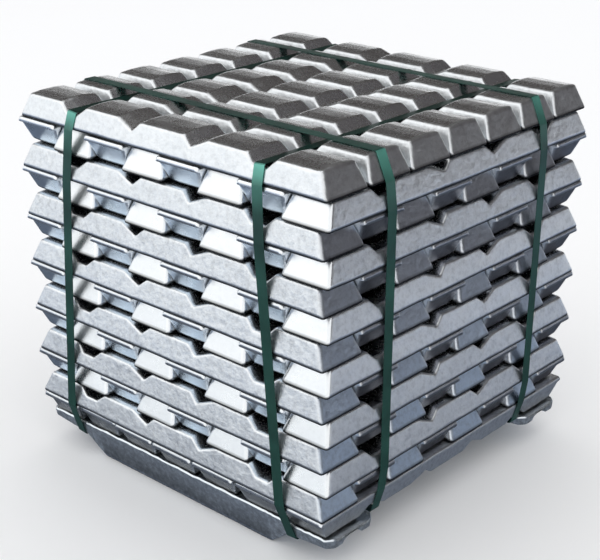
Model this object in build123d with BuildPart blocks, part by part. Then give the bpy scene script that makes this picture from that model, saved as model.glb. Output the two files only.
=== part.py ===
from build123d import *
import os
from math import atan2, cos, sin

# Bundle of notched aluminium ingots on two foot bars, held by four flat plastic straps.
# Z is up, the floor is z = 0, and the stack stands centred on X and Y.

# One notched ingot, wide face down. The wide face is the one that was open in the mould.
LENGTH = 700.0
HEIGHT = 44.0
END_DRAFT = 20.0
TOP_CHAMFER = 5.0
NOTCH_DEPTH = 15.0

# Inner notches, as distances from the ingot's middle.
MIDDLE_HUMP = 48.0
INNER_NOTCH_BOTTOM = 66.0
INNER_NOTCH_END = 104.0

# Strap notches, as distances from the ingot's ends.
END_HUMP = 106.0
STRAP_FLOOR_NEAR = 122.0
STRAP_FLOOR_FAR = 150.0
STRAP_NOTCH_FAR = 168.0

# Stack: the top and bottom layers hold seven ingots the same way up,
# the layers between hold eight, turned over in turn so that their slopes nest.
# Either number side by side is as broad as an ingot is long, so each layer is square.
LAYERS = 14
FLAT_ROW = 7
NESTED_ROW = 8
SIDE_GAP = 1.0
NEST_GAP = 1.0

# Foot bars: wide face up, a deep keel in the middle and a thin tongue at each end.
FOOT_HEIGHT = 60.0
FOOT_TOP = 116.0
FOOT_BOTTOM = 92.0
FOOT_INSET = 72.0
FOOT_OVERHANG = 2.5
TONGUE_LENGTH = 96.0
TONGUE_TIP = 14.0
TONGUE_ROOT = 24.0
KEEL_SLOPE = 44.0
TIP_CORNER = 12.0
ARCH_RADIUS = 24.0
ARCH_RISE = 10.0
ARCH_DEPTH = 16.0

# Straps
STRAP_WIDTH = 19.0
STRAP_THICK = 1.0
STRAP_GAP = 0.4
LEAN_LIFT = 1.0
KEEL_GAP = 1.5
FOOT_GAP = 3.5

# Sizes that follow from those above
flat_pitch = LENGTH / FLAT_ROW
nested_pitch = LENGTH / NESTED_ROW
wide = flat_pitch - SIDE_GAP
narrow = 2 * (nested_pitch - NEST_GAP) - wide
side_draft = (wide - narrow) / 2
flat_edge = (FLAT_ROW - 1) / 2 * flat_pitch + wide / 2
nest_edge = (NESTED_ROW - 1) / 2 * nested_pitch + wide / 2
top = FOOT_HEIGHT + LAYERS * HEIGHT
notch_z = top - NOTCH_DEPTH
foot_half = flat_edge + FOOT_OVERHANG
foot_centre = LENGTH / 2 - FOOT_INSET
keel_top = foot_half - TONGUE_LENGTH
keel_bottom = keel_top - KEEL_SLOPE
tongue_z = FOOT_HEIGHT - TONGUE_ROOT

os.makedirs("parts", exist_ok=True)


with BuildPart() as ingot:
    half_outline = [
        (MIDDLE_HUMP, HEIGHT),
        (INNER_NOTCH_BOTTOM, HEIGHT - NOTCH_DEPTH),
        (INNER_NOTCH_END, HEIGHT),
        (LENGTH / 2 - STRAP_NOTCH_FAR, HEIGHT),
        (LENGTH / 2 - STRAP_FLOOR_FAR, HEIGHT - NOTCH_DEPTH),
        (LENGTH / 2 - STRAP_FLOOR_NEAR, HEIGHT - NOTCH_DEPTH),
        (LENGTH / 2 - END_HUMP, HEIGHT),
        (LENGTH / 2 - END_DRAFT, HEIGHT),
        (LENGTH / 2, 0),
    ]
    with BuildSketch(Plane.XZ):
        with BuildLine():
            Polyline((0, HEIGHT), *half_outline, (0, 0), close=True)
        make_face()
        mirror(about=Plane.YZ)
    extrude(amount=wide / 2, both=True)
    with BuildSketch(Plane.YZ) as section:
        with BuildLine():
            Polyline(
                (-wide / 2, 0),
                (wide / 2, 0),
                (narrow / 2, HEIGHT),
                (-narrow / 2, HEIGHT),
                close=True,
            )
        make_face()
        chamfer(section.vertices().group_by(Axis.Y)[-1], length=TOP_CHAMFER)
    extrude(amount=LENGTH / 2, both=True, mode=Mode.INTERSECT)


def ingot_at(offset, base, inverted, along_y):
    """Place of one ingot: offset across the layer, base height, way up and direction."""
    place = Location((offset, 0, base), (0, 0, 90)) if along_y else Location((0, offset, base))
    if inverted:
        place = place * Location((0, 0, HEIGHT), (180, 0, 0))
    return place


def layer_places(number):
    """Places of all the ingots of one layer; layer 1 is the top one."""
    base = top - number * HEIGHT
    along_y = number % 2 == 0
    if number in (1, LAYERS):
        offsets = [(i - (FLAT_ROW - 1) / 2) * flat_pitch for i in range(FLAT_ROW)]
        return [ingot_at(offset, base, number == LAYERS, along_y) for offset in offsets]
    offsets = [(i - (NESTED_ROW - 1) / 2) * nested_pitch for i in range(NESTED_ROW)]
    first_turned = 0 if along_y else 1
    return [
        ingot_at(offset, base, i % 2 == first_turned, along_y)
        for i, offset in enumerate(offsets)
    ]


for number in range(1, LAYERS + 1):
    with BuildPart() as layer:
        with Locations(*layer_places(number)):
            add(ingot.part)
    layer.part.label = f"layer_{number:02d}"
    export_step(layer.part, f"parts/layer_{number:02d}.step")


with BuildPart() as foot:
    with BuildSketch(Plane.XZ):
        with BuildLine():
            Polyline(
                (0, FOOT_HEIGHT),
                (foot_half, FOOT_HEIGHT),
                (foot_half, FOOT_HEIGHT - TONGUE_TIP),
                (keel_top, tongue_z),
                (keel_bottom, 0),
                (0, 0),
                close=True,
            )
        make_face()
        mirror(about=Plane.YZ)
    extrude(amount=FOOT_TOP / 2, both=True)
    with BuildSketch(Plane.YZ):
        with BuildLine():
            Polyline(
                (-FOOT_BOTTOM / 2, 0),
                (FOOT_BOTTOM / 2, 0),
                (FOOT_TOP / 2, FOOT_HEIGHT),
                (-FOOT_TOP / 2, FOOT_HEIGHT),
                close=True,
            )
        make_face()
    extrude(amount=foot_half, both=True, mode=Mode.INTERSECT)
    tips = foot.faces().filter_by(Plane.YZ)
    for tip in tips:
        corners = tip.edges().sort_by(Axis.Y)
        chamfer([corners[0], corners[-1]], length=TIP_CORNER)
    # Shallow arch in the underside of each tongue's tip
    for end in (-1, 1):
        with BuildSketch(Plane.YZ.offset(end * foot_half)):
            with Locations((0, FOOT_HEIGHT - TONGUE_TIP)):
                Ellipse(ARCH_RADIUS, ARCH_RISE)
        extrude(amount=-end * ARCH_DEPTH, mode=Mode.SUBTRACT)

for name, side in (("foot_front", -1), ("foot_back", 1)):
    with BuildPart() as bar:
        with Locations((0, side * foot_centre, 0)):
            add(foot.part)
    bar.part.label = name
    export_step(bar.part, f"parts/{name}.step")


def widest_lines(number, ends_in_view):
    """Lines across one nested layer whose ends a tight strap can touch."""
    low, high = top - number * HEIGHT, top - (number - 1) * HEIGHT
    if ends_in_view:
        return [((-LENGTH / 2, z), (LENGTH / 2, z)) for z in (low, high)]
    if number % 2 == 0:
        low, high = high, low
    return [((-nest_edge, low), (nest_edge, high))]


def strap_ring(plane, lines):
    """Closed band of strap pulled tight round lines drawn in the given plane."""
    with BuildPart() as ring:
        for grow, mode in ((STRAP_GAP + STRAP_THICK, Mode.ADD), (STRAP_GAP, Mode.SUBTRACT)):
            with BuildSketch(plane):
                with BuildLine():
                    for start, end in lines:
                        Line(start, end)
                make_hull()
                offset(amount=grow, kind=Kind.INTERSECTION, mode=Mode.REPLACE)
            extrude(amount=STRAP_WIDTH / 2, both=True, mode=mode)
    return ring.part


# Leaning straps: through the first and last notches of the top layer, then outward
# to the corners between the tongues and the keels of the foot bars.
lean_top = LENGTH / 2 - (STRAP_FLOOR_NEAR + STRAP_FLOOR_FAR) / 2
lean_bottom = keel_top + STRAP_WIDTH / 2 + KEEL_GAP
lean = atan2(lean_bottom - lean_top, notch_z - tongue_z)
notch_y = flat_edge - side_draft * (1 - NOTCH_DEPTH / HEIGHT)
tongue_y = foot_centre + FOOT_BOTTOM / 2 + (FOOT_TOP - FOOT_BOTTOM) / 2 * tongue_z / FOOT_HEIGHT
across_y = [
    ((-notch_y, notch_z + LEAN_LIFT), (notch_y, notch_z + LEAN_LIFT)),
    ((-flat_edge, top - HEIGHT), (flat_edge, top - HEIGHT)),
    ((-LENGTH / 2, FOOT_HEIGHT + HEIGHT), (LENGTH / 2, FOOT_HEIGHT + HEIGHT)),
    ((-tongue_y, tongue_z - LEAN_LIFT), (tongue_y, tongue_z - LEAN_LIFT)),
]
for number in range(2, LAYERS):
    across_y += widest_lines(number, ends_in_view=number % 2 == 0)
across_y = [[(y, (z - notch_z) / cos(lean)) for y, z in line] for line in across_y]

for name, side in (("strap_left", -1), ("strap_right", 1)):
    leaning = Plane(
        origin=(side * lean_top, 0, notch_z),
        x_dir=(0, 1, 0),
        z_dir=(cos(lean), 0, side * sin(lean)),
    )
    band = strap_ring(leaning, across_y)
    band.label = name
    export_step(band, f"parts/{name}.step")

# Upright straps: over the humps of the top layer and under the bottom layer,
# beside the inner edges of the foot bars.
upright_y = foot_centre - FOOT_TOP / 2 - FOOT_GAP - STRAP_WIDTH / 2
across_x = [
    ((-LENGTH / 2 + END_DRAFT, top), (LENGTH / 2 - END_DRAFT, top)),
    ((-LENGTH / 2, top - HEIGHT), (LENGTH / 2, top - HEIGHT)),
    ((-flat_edge, FOOT_HEIGHT + HEIGHT), (flat_edge, FOOT_HEIGHT + HEIGHT)),
    ((-flat_edge + side_draft, FOOT_HEIGHT), (flat_edge - side_draft, FOOT_HEIGHT)),
]
for number in range(2, LAYERS):
    across_x += widest_lines(number, ends_in_view=number % 2 == 1)

for name, side in (("strap_front", -1), ("strap_back", 1)):
    band = strap_ring(Plane.XZ.offset(-side * upright_y), across_x)
    band.label = name
    export_step(band, f"parts/{name}.step")
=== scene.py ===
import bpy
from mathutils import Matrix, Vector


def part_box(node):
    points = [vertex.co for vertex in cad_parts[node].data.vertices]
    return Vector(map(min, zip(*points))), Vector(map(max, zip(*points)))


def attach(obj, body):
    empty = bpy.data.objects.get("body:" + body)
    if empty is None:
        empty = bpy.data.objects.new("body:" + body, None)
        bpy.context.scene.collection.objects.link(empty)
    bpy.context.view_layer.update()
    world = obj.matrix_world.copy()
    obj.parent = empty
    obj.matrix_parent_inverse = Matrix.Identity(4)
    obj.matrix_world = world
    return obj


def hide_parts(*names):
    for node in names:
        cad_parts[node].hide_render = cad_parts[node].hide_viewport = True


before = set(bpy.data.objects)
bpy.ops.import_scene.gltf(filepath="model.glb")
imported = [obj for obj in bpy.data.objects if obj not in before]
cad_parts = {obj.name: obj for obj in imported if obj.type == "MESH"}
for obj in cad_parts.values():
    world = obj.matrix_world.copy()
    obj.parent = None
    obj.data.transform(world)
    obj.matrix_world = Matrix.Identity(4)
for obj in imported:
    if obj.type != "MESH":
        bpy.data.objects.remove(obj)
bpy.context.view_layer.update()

import math

import bpy
import numpy as np
from mathutils import Vector, noise

MM = 0.001
SEED = 11
rng = np.random.default_rng(SEED)
# Blender's noise functions take their offsets from the clock unless they are seeded.
noise.seed_set(SEED)

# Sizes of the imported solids, in millimetres, under the names of the part's source in capitals.
LENGTH, WIDE, NARROW, HEIGHT, END_DRAFT, NOTCH_DEPTH = 700.0, 99.0, 74.0, 44.0, 20.0, 15.0
LAYERS, TOP, FLAT_ROW, NESTED_ROW = 14, 676.0, 7, 8
FOOT_HEIGHT, FOOT_TOP, FOOT_BOTTOM, FOOT_CENTRE, FOOT_HALF = 60.0, 116.0, 92.0, 278.0, 352.0
KEEL_TOP, KEEL_BOTTOM, TONGUE_TIP, TONGUE_ROOT = 256.0, 212.0, 14.0, 24.0
TIP_CORNER, ARCH_RADIUS, ARCH_RISE, ARCH_DEPTH = 12.0, 24.0, 10.0, 16.0
STRAP_WIDTH, STRAP_THICK, LEAN_TOP, LEAN_BOTTOM, NOTCH_Z, TONGUE_Z = 19.0, 1.0, 214.0, 267.0, 661.0, 36.0


# Material building

def node(tree, kind, **inputs):
    made = tree.nodes.new(kind)
    for name, value in inputs.items():
        made.inputs[name.replace("_", " ")].default_value = value
    return made


def srgb(r, g, b):
    def one(c):
        c /= 255
        return c / 12.92 if c <= 0.04045 else ((c + 0.055) / 1.055) ** 2.4
    return (one(r), one(g), one(b), 1)


def noise_of(tree, coords, scale, detail, rough=0.55):
    made = node(tree, "ShaderNodeTexNoise", Scale=scale, Detail=detail, Roughness=rough)
    tree.links.new(coords, made.inputs["Vector"])
    return made.outputs["Fac"]


def ramp(tree, fac, stops):
    made = tree.nodes.new("ShaderNodeValToRGB")
    elements = made.color_ramp.elements
    while len(elements) < len(stops):
        elements.new(0.5)
    for element, (at, colour) in zip(elements, stops):
        element.position = at
        element.color = colour
    tree.links.new(fac, made.inputs["Fac"])
    return made.outputs["Color"]


def calc(tree, operation, *values):
    made = tree.nodes.new("ShaderNodeMath")
    made.operation = operation
    for socket, value in zip(made.inputs, values):
        if isinstance(value, (int, float)):
            socket.default_value = value
        else:
            tree.links.new(value, socket)
    return made.outputs["Value"]


def blend(tree, fac, a, b, kind="MIX"):
    """Colour mix of a and b; fac and a may be plain values."""
    made = tree.nodes.new("ShaderNodeMix")
    made.data_type = "RGBA"
    made.blend_type = kind
    first, second = [socket for socket in made.inputs if socket.type == "RGBA"]
    for socket, value in ((made.inputs["Factor"], fac), (first, a), (second, b)):
        if isinstance(value, (float, tuple)):
            socket.default_value = value
        else:
            tree.links.new(value, socket)
    return next(socket for socket in made.outputs if socket.type == "RGBA")


def multiply(tree, a, b):
    return blend(tree, 1.0, a, b, "MULTIPLY")


def attribute(tree, name, output):
    made = tree.nodes.new("ShaderNodeAttribute")
    made.attribute_name = name
    return made.outputs[output]


def cool(v, blue):
    """Grey of brightness v, leaning to blue."""
    return (v * (1 - blue), v * (1 - 0.4 * blue), v, 1)


def cast_metal(name, tones, blue, rough, bump, stain):
    """Cast aluminium: mottled skin, patchy gloss, fine grain, with a tone and gloss for each casting; the
    tone also carries painted shade and painted reflections.
    """
    made = bpy.data.materials.new(name)
    made.use_nodes = True
    tree = made.node_tree
    shader = tree.nodes["Principled BSDF"]
    shader.inputs["Metallic"].default_value = 1.0
    coords = tree.nodes.new("ShaderNodeNewGeometry").outputs["Position"]
    mottle = noise_of(tree, coords, 105, 6, 0.66)
    fine = noise_of(tree, coords, 240, 4, 0.6)
    patch = noise_of(tree, coords, 30, 3)
    skin = ramp(tree, mottle, [(at, cool(v, blue)) for at, v in zip((0.34, 0.5, 0.64), tones)])
    specks = ramp(tree, fine, [(0.34, cool(1 - stain, 0)), (0.56, cool(1.0, 0))])
    dull = attribute(tree, "dull", "Fac")
    strength = calc(tree, "MULTIPLY_ADD", dull, 1.1, 0.15)
    skinned = blend(tree, strength, cool(tones[2], blue), multiply(tree, skin, specks))
    # The tone attribute holds each casting's tone together with painted shade and painted reflections
    colour = multiply(tree, skinned, attribute(tree, "tone", "Color"))
    tree.links.new(colour, shader.inputs["Base Color"])
    spread = calc(tree, "MULTIPLY_ADD", patch, rough[1] - rough[0], rough[0])
    grain = calc(tree, "MULTIPLY_ADD", fine, 0.10, spread)
    tree.links.new(calc(tree, "MULTIPLY_ADD", dull, 0.22, grain), shader.inputs["Roughness"])
    coarse = noise_of(tree, coords, 95, 5, 0.6)
    swell = noise_of(tree, coords, 36, 3, 0.5)
    height = calc(tree, "MULTIPLY_ADD", coarse, 1.6, calc(tree, "MULTIPLY", fine, 0.12))
    height = calc(tree, "MULTIPLY_ADD", swell, 1.6, height)
    relief = node(tree, "ShaderNodeBump", Distance=0.0010)
    strength = calc(tree, "MAXIMUM", calc(tree, "MULTIPLY_ADD", dull, bump, 0.18), 0.14)
    tree.links.new(strength, relief.inputs["Strength"])
    tree.links.new(height, relief.inputs["Height"])
    tree.links.new(relief.outputs["Normal"], shader.inputs["Normal"])
    return made


ingot_metal = cast_metal("cast_ingot", (0.66, 0.91, 1.0), 0.05, (0.16, 0.34), 1.0, 0.10)
foot_metal = cast_metal("cast_foot", (0.52, 0.72, 1.0), 0.10, (0.20, 0.36), 0.5, 0.14)


def strap_plastic(name):
    """Dark green polyester strap: faint streaks, semi-gloss, fine embossing."""
    made = bpy.data.materials.new(name)
    made.use_nodes = True
    tree = made.node_tree
    shader = tree.nodes["Principled BSDF"]
    coords = tree.nodes.new("ShaderNodeNewGeometry").outputs["Position"]
    streaks = noise_of(tree, coords, 16, 4)
    colour = ramp(tree, streaks, [(0.3, srgb(16, 52, 46)), (0.7, srgb(26, 72, 63))])
    # The tone attribute holds a painted highlight at the bends and painted shade on top
    tree.links.new(multiply(tree, colour, attribute(tree, "tone", "Color")), shader.inputs["Base Color"])
    shader.inputs["Roughness"].default_value = 0.38
    shader.inputs["Specular IOR Level"].default_value = 0.4
    emboss = noise_of(tree, coords, 1100, 1)
    relief = node(tree, "ShaderNodeBump", Strength=0.15, Distance=0.0003)
    tree.links.new(emboss, relief.inputs["Height"])
    tree.links.new(relief.outputs["Normal"], shader.inputs["Normal"])
    return made


strap_green = strap_plastic("strap_green")


# Mesh building

def rounded(points, radii, steps):
    """Closed outline with each corner turned into an arc, and a point on each side near each arc."""
    out = []
    count = len(points)
    arcs = []
    for i in range(count):
        before, here, after = (np.array(points[(i + k) % count], float) for k in (-1, 0, 1))
        a, b = before - here, after - here
        la, lb = np.linalg.norm(a), np.linalg.norm(b)
        a, b = a / la, b / lb
        angle = math.acos(max(-1.0, min(1.0, float(a @ b))))
        cut = min(radii[i] / math.tan(angle / 2), 0.45 * min(la, lb))
        start, end = here + a * cut, here + b * cut
        ts = [k / steps for k in range(steps + 1)]
        arcs.append([(1 - t) ** 2 * start + 2 * t * (1 - t) * here + t * t * end for t in ts])
    for i in range(count):
        start, end = arcs[i][-1], arcs[(i + 1) % count][0]
        near = (end - start) * min(0.3, 2.5 / max(1e-6, float(np.linalg.norm(end - start))))
        out += [*arcs[i], start + near, end - near]
    return np.array(out)


def grid_faces(rows, ring, start, flip, caps=None):
    """Quads of a tube of rings, and the caps at each end, as places in a ring."""
    faces = []
    for r in range(rows - 1):
        for k in range(ring):
            a = start + r * ring + k
            b = start + r * ring + (k + 1) % ring
            faces.append((a, b, b + ring, a + ring))
    for cap in caps or [tuple(range(ring))]:
        faces.append(tuple(start + k for k in reversed(cap)))
        faces.append(tuple(start + (rows - 1) * ring + k for k in cap))
    return [f[::-1] for f in faces] if flip else faces


def mesh_piece(name, verts, faces, material, **attributes):
    """Object from millimetres, shaded smooth with the flat faces kept flat."""
    mesh = bpy.data.meshes.new(name)
    mesh.from_pydata([tuple(v) for v in np.asarray(verts) * MM], [], faces)
    mesh.update()
    mesh.materials.append(material)
    normals = np.zeros((len(mesh.vertices), 3))
    for polygon in mesh.polygons:
        normals[list(polygon.vertices)] += np.array(polygon.normal) * polygon.area
    normals /= np.maximum(np.linalg.norm(normals, axis=1, keepdims=True), 1e-12)
    mesh.polygons.foreach_set("use_smooth", [True] * len(mesh.polygons))
    mesh.normals_split_custom_set_from_vertices(normals.tolist())
    for key, values in attributes.items():
        values = np.asarray(values, np.float32)
        kind, field = ("FLOAT_COLOR", "color") if values.ndim == 2 else ("FLOAT", "value")
        mesh.attributes.new(key, kind, "POINT").data.foreach_set(field, values.ravel())
    made = bpy.data.objects.new(name, mesh)
    bpy.context.scene.collection.objects.link(made)
    return made


def uneven(points, amount, scale, seed):
    """Slow unevenness of a cast skin, in millimetres."""
    shift = Vector((seed * 7.3 % 97, seed * 3.1 % 89, seed * 5.7 % 83))
    return np.array([noise.noise_vector(Vector(p) * scale + shift) for p in points]) * amount


# Ingots

# How far the bends of the notched face are eased, in millimetres
EASE = 4
# Depth of the notched face at distances from the ingot's middle
NOTCH_KNOTS = [
    (0, 0), (48, 0), (66, NOTCH_DEPTH), (104, 0), (182, 0),
    (200, NOTCH_DEPTH), (228, NOTCH_DEPTH), (244, 0), (400, 0),
]
# Radii of the long edges
WIDE_EDGE, HUMP_EDGE = 5.5, 5.5
# The notched face falls off to both sides: from where, how steeply, how far at most, and how deep down
CROWN_FROM, CROWN_SLOPE, CROWN, CROWN_REACH = 13.0, 0.10, 2.2, 14
# Brightness of the painted shade where two layers meet
LAYER_JOIN_SHADE = 0.05
# Heights above the wide face of the lip's far edge and of the ledge's end, and how far the edge of the
# wide face stands back
LIP, LEDGE, LIP_SET_BACK = 8.0, 10.0, 3.6
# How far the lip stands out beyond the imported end, in two layers and elsewhere, and for ends without one
FLASH, FLASH_ELSEWHERE, NO_FLASH = {2: 1.8, 14: 4.2}, 3.9, -0.5
# Length of the stretch over which an end's slope is blended into the ingot
END_BLEND = 90
# Slow and fine unevenness: millimetres, and waves for each millimetre
SWELL, FINE = (0.7, 0.016), (0.25, 0.07)
# Points of a ring on the notched face and on the two long sides, and how dull the faces are
HUMP_FACE, LONG_SIDES = slice(17, 23), [9, 10, 11, 12, 13, 26, 27, 28, 29, 0]
HUMP_DULL, UNDER_DULL = -0.2, 0.25
# Caps of an ingot: strips between matching points of a ring's two sides
INGOT_CAPS = [(3, 4, 5, 6, 7, 2), (2, 7, 8, 1), (1, 8, 9, 0), (0, 9, 10, 29)]
INGOT_CAPS += [(29 - k, 10 + k, 11 + k, 28 - k) for k in range(5)] + [(24, *range(15, 24))]


def stations():
    """Places of the cross sections along half an ingot: close together where the profile bends."""
    xs = {0.0}
    for knot, _ in NOTCH_KNOTS[1:-1]:
        xs |= {knot + d for d in (-6.0, -3.5, -1.5, 1.5, 3.5, 6.0)}
    for x in np.arange(12.0, LENGTH / 2 - 30, 14.0):
        if min(abs(x - other) for other in xs) > 5:
            xs.add(float(x))
    return np.array(sorted(xs))


HALF_STATIONS = stations()


def profile(depth_at):
    """Depth of the notched face below the humps, every half millimetre, with eased corners."""
    x = np.arange(-LENGTH / 2, LENGTH / 2 + 0.1, 0.5)
    z = depth_at(x)
    kernel = np.hanning(4 * EASE + 1)
    kernel /= kernel.sum()
    return x, np.convolve(np.pad(z, 2 * EASE, mode="edge"), kernel, mode="valid")


def ring_outline(top, sy, low_s, top_s):
    """Cross section of an ingot: points along both sides, the lip's edge marked, and a crowned top."""
    half_top = WIDE / 2 - (WIDE - NARROW) / 2 * top / HEIGHT
    half_wide, half_top = WIDE / 2 - sy, half_top - sy
    low_r, top_r = WIDE_EDGE - sy / 2, max(1.0, HUMP_EDGE - top_s)
    corners = [(-half_wide, low_s), (half_wide, low_s), (half_top, top - top_s), (-half_top, top - top_s)]
    o = rounded(corners, [low_r, low_r, top_r, top_r], 3)

    def marks(low, high):
        return [low + (high - low) * (z - low[1]) / (high[1] - low[1]) for z in (LIP, LEDGE)]

    across = [o[16] + (o[17] - o[16]) * t for t in (0, 0.22, 0.32, 0.68, 0.78, 1)]
    out = np.array([*o[:10], *marks(o[9], o[12]), *o[11:16], *across, *o[18:23], *marks(o[0], o[21])[::-1]])
    near_top = np.clip(1 - (top - out[:, 1]) / CROWN_REACH, 0, 1)
    out[:, 1] -= near_top * np.minimum(CROWN, CROWN_SLOPE * np.maximum(np.abs(out[:, 0]) - CROWN_FROM, 0))
    return out


def ingot_grid(seed, inverted, flash, side_dull, end_dull):
    """Rings of one ingot in its own frame, X along it and wide face down at z = 0.
    Also how dull each point is, and the painted shade along the edge that rests on the layer below, for the
    wide face or the humps lying below."""
    local = np.random.default_rng(seed)
    sides = []
    for _ in range(2):
        sides.append([(x + (local.uniform(-1.6, 1.6) if 0 < x < 300 else 0), z) for x, z in NOTCH_KNOTS])

    def depth_at(x):
        return np.where(
            x < 0,
            np.interp(-x, *zip(*sides[0])),
            np.interp(x, *zip(*sides[1])),
        )

    px, pz = profile(depth_at)
    half = LENGTH / 2 + flash
    inner = np.concatenate([-HALF_STATIONS[:0:-1], HALF_STATIONS])
    turns = np.radians([90, 60, 30, 0])
    inset, low_s = (3.0, 1.2) if inverted else (5.0, 2.5)
    end = [(half - inset * (1 - math.cos(t)), 1 - math.sin(t)) for t in turns]
    right = [(half - 26, 0.0), (half - 12, 0.0), *end]
    rows = []
    for x, s in [(-x, s) for x, s in right[::-1]] + [(x, 0.0) for x in inner] + right:
        outline = ring_outline(HEIGHT - float(np.interp(x, px, pz)), 8 * s, low_s * s, 5 * s)
        rows.append(np.column_stack([np.full(len(outline), x), outline]))
    grid = np.array(rows)
    # The ends slope: what is higher is pulled back, fading out along the ingot.
    # The open side of the mould leaves a lip that stands out from the slope.
    heights, backs = [0, HEIGHT], [0, END_DRAFT + flash]
    if inverted:
        heights = [0, LIP, LEDGE, HEIGHT]
        backs = [LIP_SET_BACK, 0, flash + END_DRAFT * LEDGE / HEIGHT, flash + END_DRAFT]
    reach = np.clip((np.abs(grid[..., 0]) - (half - END_BLEND)) / END_BLEND, 0, 1)
    grid[..., 0] -= np.sign(grid[..., 0]) * reach * np.interp(grid[..., 2], heights, backs)
    # The humps are the smoothest; painted shade along the edges where two layers meet
    dull = np.full(grid.shape[:2], UNDER_DULL)
    dull[:, HUMP_FACE] = HUMP_DULL
    dull[:, LONG_SIDES] = side_dull
    dull[:4] = dull[-4:] = end_dull
    height = grid[..., 2]
    contact_shade = np.clip((height - 3.2) / 2.6, 0, 1), np.clip((HEIGHT - CROWN - 0.6 - height) / 3, 0, 1)
    return grid, dull, contact_shade


def painted_end_reflection(height, lip_weight, colour):
    """Painted reflection of each point: the colour of the end faces' painted reflection, fading out round
    their edges and at the lip.
    """
    weight = np.zeros(height.shape)
    weight[:3] = np.array([[1.0], [0.7], [0.3]])
    weight = weight + weight[::-1]
    weight *= np.interp(height, [LIP, LEDGE], [lip_weight, 1])
    return 1 + weight[..., None] * (np.array(colour) - 1)


def put(grid, offset, base, inverted, along_y, slide, turn):
    """Points of one ingot in its place in the stack."""
    p = grid.reshape(-1, 3).copy()
    if inverted:
        p[:, 1:] = np.column_stack([-p[:, 1], HEIGHT - p[:, 2]])
    c, s = math.cos(turn), math.sin(turn)
    p[:, :2] = np.column_stack([p[:, 0] * c - p[:, 1] * s + slide, p[:, 0] * s + p[:, 1] * c + offset])
    if along_y:
        p[:, :2] = np.column_stack([p[:, 1], -p[:, 0]])
    p[:, 2] += base
    return p


def layer_places(number):
    """Offset, base height, way up and direction of each ingot of a layer; layer 1 is the top one."""
    base = TOP - number * HEIGHT
    along_y = number % 2 == 0
    count = FLAT_ROW if number in (1, LAYERS) else NESTED_ROW
    first_turned = 0 if along_y else 1
    for i in range(count):
        offset = (i - (count - 1) / 2) * LENGTH / count
        turned = number == LAYERS if count == FLAT_ROW else i % 2 == first_turned
        yield offset, base, turned, along_y


def end_reflection_colour(number, along_y, inverted):
    """Tint of the end faces: light along Y, darker along X, where upright ends turn from grey to blue
    downwards. It imitates what the photographed ends reflect; real ends have one colour all round."""
    if number == LAYERS:
        return (0.52, 0.50, 0.48)
    if along_y:
        return (0.80, 0.88, 0.96) if inverted else (1, 1, 1)
    if inverted:
        return (0.32, 0.32, 0.35)
    if number == 1:
        return (0.80, 0.79, 0.78)
    grey, blue = (0.56, 0.57, 0.61), (0.60, 0.70, 0.84)
    down = min(1.0, max(0.0, (number - 3) / 8))
    return tuple(high + down * (low - high) for high, low in zip(grey, blue))


for number in range(1, LAYERS + 1):
    verts, faces, tones, dulls = [], [], [], []
    count = 0
    for i, place in enumerate(layer_places(number)):
        seed = number * 100 + i
        inverted = place[2]
        along_y = place[3]
        # A lip would stand in the way of the leaning straps here.
        under_strap = number in (2, LAYERS) and 190 < abs(place[0]) < 230
        flash = NO_FLASH
        if inverted and not under_strap:
            flash = FLASH.get(number, FLASH_ELSEWHERE) * rng.uniform(0.9, 1.05)
        side_dull, end_dull = 0.35 if number == 1 else 0.5, 0.0 if along_y else 0.4
        grid, dull, contact_shade = ingot_grid(seed, inverted, flash, side_dull, end_dull)
        # Painted reflection on the end faces, weaker or left off at the lip of turned ingots
        lip_weight = 1.0 if not inverted else 0.0 if along_y else 0.6
        end_reflection = painted_end_reflection(grid[..., 2], lip_weight, end_reflection_colour(number, along_y, inverted))
        points = grid.reshape(-1, 3)
        points += uneven(points, *SWELL, seed) + uneven(points, *FINE, seed + 50)
        slide = rng.uniform(-1, 1) * (0.3 if number in (1, 2, LAYERS) else 0.6)
        placed = put(grid, *place, slide, rng.uniform(-0.001, 0.001))
        faces += grid_faces(*grid.shape[:2], count, flip=True, caps=INGOT_CAPS)
        verts.append(placed)
        count += len(placed)
        # Painted shade along the edge that rests on the layer below, times a random tone for each casting
        unshaded = LAYER_JOIN_SHADE + (1 - LAYER_JOIN_SHADE) * contact_shade[inverted]
        colour = rng.uniform(0.95, 1.0) * unshaded[..., None] * end_reflection
        tones.append(np.concatenate([colour, np.ones_like(unshaded)[..., None]], axis=2).reshape(-1, 4))
        dulls.append(dull.ravel() * rng.uniform(0.7, 1.1))
    made = mesh_piece(
        f"ingots_{number:02d}", np.concatenate(verts), faces, ingot_metal,
        tone=np.concatenate(tones), dull=np.concatenate(dulls),
    )
    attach(made, "root")
    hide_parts(f"layer_{number:02d}")


# Foot bars

# Raised rim along the wide face, and the painted shade along the bottom edge: its brightness and the
# heights over which it fades out
FOOT_RIM = 4.4
FOOT_CONTACT_SHADE, FOOT_SHADE_FROM, FOOT_SHADE_TO = 0.12, 3, 8


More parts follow.
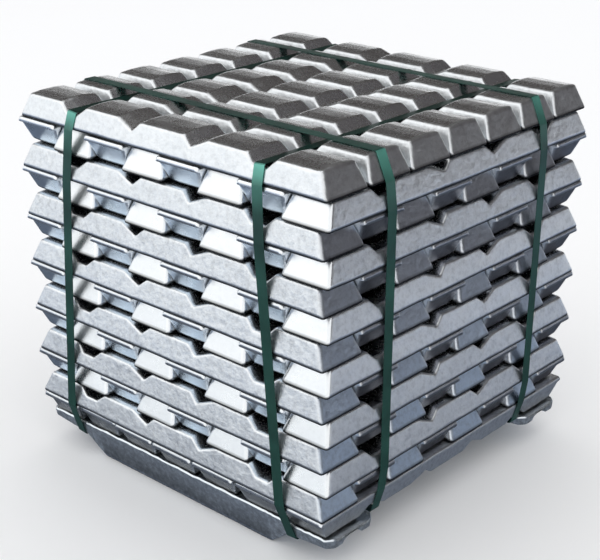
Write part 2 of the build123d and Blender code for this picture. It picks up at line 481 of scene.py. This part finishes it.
def foot_grid(seed):
    """Rings of one foot bar about its own middle: X along it, wide face up, with the raised rim of the
    open side of its mould standing in front of the bottom layer."""
    turns = np.radians([0, 45, 90])
    edge = 3.0
    ends = [(FOOT_HALF - edge * (1 - math.cos(t)), edge * (1 - math.sin(t))) for t in turns[::-1]]
    half = [*np.arange(10.0, 200.0, 14.0), *np.arange(204.0, 266.0, 3.0), *np.arange(272.0, 330.0, 9.0)]
    half += [333.0, 335.0, 337.0, 340.0, 344.0]
    right = [(x, 0.0) for x in half] + [(x, s) for x, s in ends if x > 345]
    fine = np.arange(0, FOOT_HALF + 20, 1.0)
    under = np.interp(
        fine,
        [0, KEEL_BOTTOM, KEEL_TOP, FOOT_HALF],
        [0, 0, FOOT_HEIGHT - TONGUE_ROOT, FOOT_HEIGHT - TONGUE_TIP],
    )
    kernel = np.hanning(13)
    under = np.convolve(np.pad(under, 6, mode="edge"), kernel / kernel.sum(), mode="valid")
    rows = []
    for x, s in [(-x, s) for x, s in right[::-1]] + [(0.0, 0.0)] + right:
        low = float(np.interp(abs(x), fine, under))
        cut = max(0.0, abs(x) - (FOOT_HALF - TIP_CORNER))
        top_half = FOOT_TOP / 2 - cut - s
        low_half = FOOT_BOTTOM / 2 + (FOOT_TOP - FOOT_BOTTOM) / 2 * low / FOOT_HEIGHT - cut - s
        low_edge = [(-low_half + 2 * low_half * k / 16, low + s) for k in range(17)]
        level, crest, inner = FOOT_HEIGHT - s, FOOT_HEIGHT + FOOT_RIM - s, top_half - 2.2
        outline = rounded(
            [
                (top_half + 0.9, crest - 2.8), (top_half - 1, crest),
                (inner, crest), (inner - 0.9, level), (0.9 - inner, level), (-inner, crest),
                (1 - top_half, crest), (-top_half - 0.9, crest - 2.8),
                *low_edge,
            ],
            [1.0, 0.8, 0.6, 0.6, 0.6, 0.6, 0.8, 1.0, 6.0, *[0.5] * 15, 6.0],
            2,
        )
        ring = np.column_stack([np.full(len(outline), x), outline])
        hollow = np.clip((abs(x) - (FOOT_HALF - ARCH_DEPTH - 1)) / 3, 0, 1)
        inside = np.clip(1 - (ring[:, 1] / ARCH_RADIUS) ** 2, 0, 1)
        is_low = ring[:, 2] < low + s + 1.0
        ring[:, 2] += np.where(is_low, hollow * ARCH_RISE * np.sqrt(inside), 0)
        rows.append(ring)
    return np.array(rows)


for name, side in (("foot_front", -1), ("foot_back", 1)):
    grid = foot_grid(side)
    points = grid.reshape(-1, 3)
    lip = np.clip((points[:, 2] - (FOOT_HEIGHT - 3)) / 4, 0, 1) * (np.abs(points[:, 1]) > FOOT_TOP / 2 - 16)
    # Slow unevenness below the wide face, and a ragged rim that only sinks below its crest
    wobble = uneven(points, 0.5, 0.014, 7 + side) * np.array([1, 1, 0.4])
    ragged = uneven(points, 3.4, 0.06, 17 + side) * np.array([0.4, 0.35, 1]) * lip[:, None]
    wobble[:, 2] *= points[:, 2] < FOOT_HEIGHT - 2
    ragged[:, 2] = -np.abs(ragged[:, 2])
    points += wobble + ragged
    points[:, 2] = np.maximum(points[:, 2], 0)
    # Painted shade along the bottom edge where the bar stands on the floor, fading out upwards
    rise = (points[:, 2:] - FOOT_SHADE_FROM) / (FOOT_SHADE_TO - FOOT_SHADE_FROM)
    contact_shade = FOOT_CONTACT_SHADE + (1 - FOOT_CONTACT_SHADE) * np.clip(rise, 0, 1)
    foot_tone = np.hstack([contact_shade, contact_shade, contact_shade, np.ones_like(contact_shade)])
    points[:, 1] += side * FOOT_CENTRE
    made = mesh_piece(
        f"{name}_bar", points, grid_faces(*grid.shape[:2], 0, flip=False), foot_metal,
        tone=foot_tone, dull=0.8 - 0.75 * lip,
    )
    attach(made, "root")
    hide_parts(name)


# Straps

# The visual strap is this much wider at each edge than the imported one
STRAP_EXTRA = 1
# Radius of a bend, the angle between two points round it, and the spacing of points elsewhere
BEND_RADIUS, BEND_STEP, SPACING = 6.0, 0.12, 40
# Painted highlight of the strap where it bends down over the top layer, how far below the top it starts
# and over how much it grows, and the painted shade of the leaning straps where they lie on top
BEND_HIGHLIGHT, HIGHLIGHT_BELOW, HIGHLIGHT_GROWTH, TOP_SHADE = (15.0, 8.0, 8.5), 52, 36, 0.55


def hull(points):
    """Corners of the convex outline of flat points, anticlockwise."""
    points = sorted(set(map(tuple, np.round(points, 3))))

    def half(ordered):
        out = []
        for p in ordered:
            while len(out) > 1:
                (ax, ay), (bx, by) = out[-2], out[-1]
                if (bx - ax) * (p[1] - ay) - (by - ay) * (p[0] - ax) > 1e-3:
                    break
                out.pop()
            out.append(p)
        return out[:-1]

    return np.array(half(points) + half(points[::-1]))


def strap_mesh(name, origin, across, up, along):
    """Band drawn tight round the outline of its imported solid, with rounded bends.
    across and up span the plane of the loop, along is the direction of the strap's width."""
    origin, across, up, along = (np.array(v, float) for v in (origin, across, up, along))
    solid = np.array([v.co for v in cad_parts[name].data.vertices]) / MM - origin
    outline = hull(np.column_stack([solid @ across, solid @ up]))
    path = []
    count = len(outline)
    for i in range(count):
        before, here, after = (outline[(i + k) % count] for k in (-1, 0, 1))
        a, b = before - here, after - here
        la, lb = np.linalg.norm(a), np.linalg.norm(b)
        turn = math.pi - math.acos(max(-1.0, min(1.0, float(a @ b / la / lb))))
        cut = min(BEND_RADIUS * math.tan(turn / 2) + 0.4, 0.4 * min(la, lb))
        start, end = here + a / la * cut, here + b / lb * cut
        steps = max(2, int(turn / BEND_STEP))
        for k in range(steps + 1):
            t = k / steps
            path.append((1 - t) ** 2 * start + 2 * t * (1 - t) * here + t * t * end)
        gap = np.linalg.norm(outline[(i + 1) % count] - end)
        for k in range(1, int(gap // SPACING)):
            path.append(end + (outline[(i + 1) % count] - end) * k * SPACING / gap)
    path = np.array(path)
    ahead = np.roll(path, -1, axis=0) - np.roll(path, 1, axis=0)
    ahead /= np.linalg.norm(ahead, axis=1, keepdims=True)
    outward = np.column_stack([ahead[:, 1], -ahead[:, 0]])
    w = STRAP_WIDTH / 2 + STRAP_EXTRA
    half_section = [(w / 2, 0), (w - 0.3, 0), (w, -0.2), (w, 0.2 - STRAP_THICK), (w - 0.2, -STRAP_THICK)]
    section = half_section + [(-s, d) for s, d in half_section[::-1]]
    # Painted highlight where it bends down over the top layer, the front and back straps a third as much
    level = path[:, 1] + origin[2]
    on_side, on_top = np.abs(outward[:, 0]) > 0.45, outward[:, 1] > 0.7
    highlight = np.clip((level - (TOP - HIGHLIGHT_BELOW)) / HIGHLIGHT_GROWTH, 0, 1) * on_side
    highlight = np.repeat(highlight if across[1] else highlight / 3, len(section))[:, None]
    tone = np.hstack([1 + highlight * np.array(BEND_HIGHLIGHT), np.ones_like(highlight)])
    # Painted shade on the leaning straps where they lie on top
    if across[1]:
        tone[:, :3] *= np.where(np.repeat(on_top, len(section)), TOP_SHADE, 1)[:, None]
    verts = []
    for p, n in zip(path, outward):
        for s, d in section:
            q = p + n * d
            verts.append(origin + across * q[0] + up * q[1] + along * s)
    rows, ring = len(path), len(section)
    faces = []
    for r in range(rows):
        for k in range(ring):
            a, b = r * ring + k, r * ring + (k + 1) % ring
            c, d = (r + 1) % rows * ring + (k + 1) % ring, (r + 1) % rows * ring + k
            faces.append((a, b, c, d))
    made = mesh_piece(f"{name}_band", verts, faces, strap_green, tone=tone)
    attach(made, "root")
    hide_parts(name)


lean = math.atan2(LEAN_BOTTOM - LEAN_TOP, NOTCH_Z - TONGUE_Z)
for name, side in (("strap_left", -1), ("strap_right", 1)):
    up = (-side * math.sin(lean), 0, math.cos(lean))
    along = (math.cos(lean), 0, side * math.sin(lean))
    strap_mesh(name, (side * LEAN_TOP, 0, NOTCH_Z), (0, 1, 0), up, along)
for name in ("strap_front", "strap_back"):
    low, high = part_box(name)
    middle = (low.y + high.y) / 2 / MM
    strap_mesh(name, (0, middle, 0), (1, 0, 0), (0, 0, 1), (0, -1, 0))


# Studio

FLOOR_HALF = 16
# Height that the lamp and the cards' elevations are measured from, near the bundle's middle
STACK_MIDDLE = 0.35


def stage_mesh(name, verts, faces, material):
    mesh = bpy.data.meshes.new(name)
    mesh.from_pydata(verts, [], faces)
    mesh.materials.append(material)
    made = bpy.data.objects.new(name, mesh)
    bpy.context.scene.collection.objects.link(made)
    return made


pale = bpy.data.materials.new("floor_pale")
pale.use_nodes = True
pale.node_tree.nodes["Principled BSDF"].inputs["Base Color"].default_value = (0.98, 0.98, 0.98, 1)
pale.node_tree.nodes["Principled BSDF"].inputs["Roughness"].default_value = 0.9
corners = [(x * FLOOR_HALF, y * FLOOR_HALF, 0) for x, y in ((-1, -1), (1, -1), (1, 1), (-1, 1))]
stage_mesh("floor", corners, [(0, 1, 2, 3)], pale)

# White surroundings for every ray
world = bpy.data.worlds.new("studio")
bpy.context.scene.world = world
world.use_nodes = True
world.node_tree.nodes["Background"].inputs["Strength"].default_value = 1.0
world.node_tree.nodes["Background"].inputs["Color"].default_value = (1, 1, 1, 1)


def card(name, colour, verts, faces):
    """Studio card that only reflections see, as a photographer's flag does for metal.
    The metal's look depends on these cards and was tuned with them."""
    paint = bpy.data.materials.new(name)
    paint.use_nodes = True
    paint.node_tree.nodes.clear()
    shine = node(paint.node_tree, "ShaderNodeEmission", Color=(*colour, 1), Strength=1.0)
    out = paint.node_tree.nodes.new("ShaderNodeOutputMaterial")
    paint.node_tree.links.new(shine.outputs["Emission"], out.inputs["Surface"])
    made = stage_mesh(name, verts, faces, paint)
    made.visible_camera = False
    made.visible_diffuse = False
    made.visible_shadow = False
    made.visible_transmission = False


def standing_card(name, colour, azimuth, width, low, high, distance=6.0):
    """Arc between two elevations as seen from the stack. Azimuth 0 is the front (-Y), 90 the right (+X)."""
    steps = 16
    angles = [math.radians(azimuth + width * (k / steps - 0.5)) for k in range(steps + 1)]
    z = [max(0.01, STACK_MIDDLE + distance * math.tan(math.radians(e))) for e in (low, high)]
    verts = [(math.sin(a) * distance, -math.cos(a) * distance, h) for h in z for a in angles]
    card(name, colour, verts, [(k, k + 1, k + steps + 2, k + steps + 1) for k in range(steps)])


def floor_card(name, colour, radius, height):
    """Disc just above the floor. The smaller ones lie higher, so that each shows in front of the next."""
    turns = [k * math.pi / 16 for k in range(32)]
    ring = [(math.sin(t) * radius, math.cos(t) * radius, height) for t in turns]
    card(name, colour, ring, [tuple(range(32))])


standing_card("card_right", (0.082, 0.076, 0.078), 140, 100, 2.5, 68)
standing_card("card_back", (0.070, 0.064, 0.062), 232, 100, 12.5, 66, 5.8)
standing_card("card_front_low", (0.95, 0.985, 1.0), -45, 110, 0.3, 8.5)
floor_card("card_far_floor", (0.38, 0.46, 0.62), 6.0, 0.003)
floor_card("card_mid_floor", (0.24, 0.29, 0.39), 2.6, 0.0045)
floor_card("card_near_floor", (0.105, 0.12, 0.15), 1.3, 0.006)


def lamp(name, azimuth, elevation, distance, size, watts):
    a, e = math.radians(azimuth), math.radians(elevation)
    data = bpy.data.lights.new(name, "AREA")
    data.shape = "RECTANGLE"
    data.size, data.size_y = size
    data.energy = watts
    made = bpy.data.objects.new(name, data)
    away = Vector((math.sin(a) * math.cos(e), -math.cos(a) * math.cos(e), math.sin(e)))
    made.location = Vector((0, 0, STACK_MIDDLE)) + away * distance
    made.rotation_mode = "QUATERNION"
    made.rotation_quaternion = away.to_track_quat("Z", "Y")
    bpy.context.scene.collection.objects.link(made)


lamp("key", -38, 30, 4.5, (4.0, 2.6), 8)


# Camera, worked out for a picture of 600 by 560

PHOTO_WIDTH, PHOTO_HEIGHT, FOCAL_PX, CENTRE_ROW = 600, 560, 1296.64, 350.0
AZIMUTH, ELEVATION, DISTANCE = math.radians(41.98), math.radians(25.43), 2.46418
AIM = Vector((-0.01438, 0, 0.16884))
camera_data = bpy.data.cameras.new("camera")
camera = bpy.data.objects.new("camera", camera_data)
bpy.context.scene.collection.objects.link(camera)
bpy.context.scene.camera = camera
away = Vector((
    math.sin(AZIMUTH) * math.cos(ELEVATION),
    -math.cos(AZIMUTH) * math.cos(ELEVATION),
    math.sin(ELEVATION),
))
camera.location = AIM + away * DISTANCE
camera.rotation_mode = "QUATERNION"
camera.rotation_quaternion = away.to_track_quat("Z", "Y")
camera_data.sensor_width = 36
camera_data.lens = FOCAL_PX / PHOTO_WIDTH * 36
camera_data.shift_y = (CENTRE_ROW - PHOTO_HEIGHT / 2) / PHOTO_WIDTH
camera_data.clip_start, camera_data.clip_end = 0.05, 60

bpy.context.scene.view_settings.view_transform = "Standard"
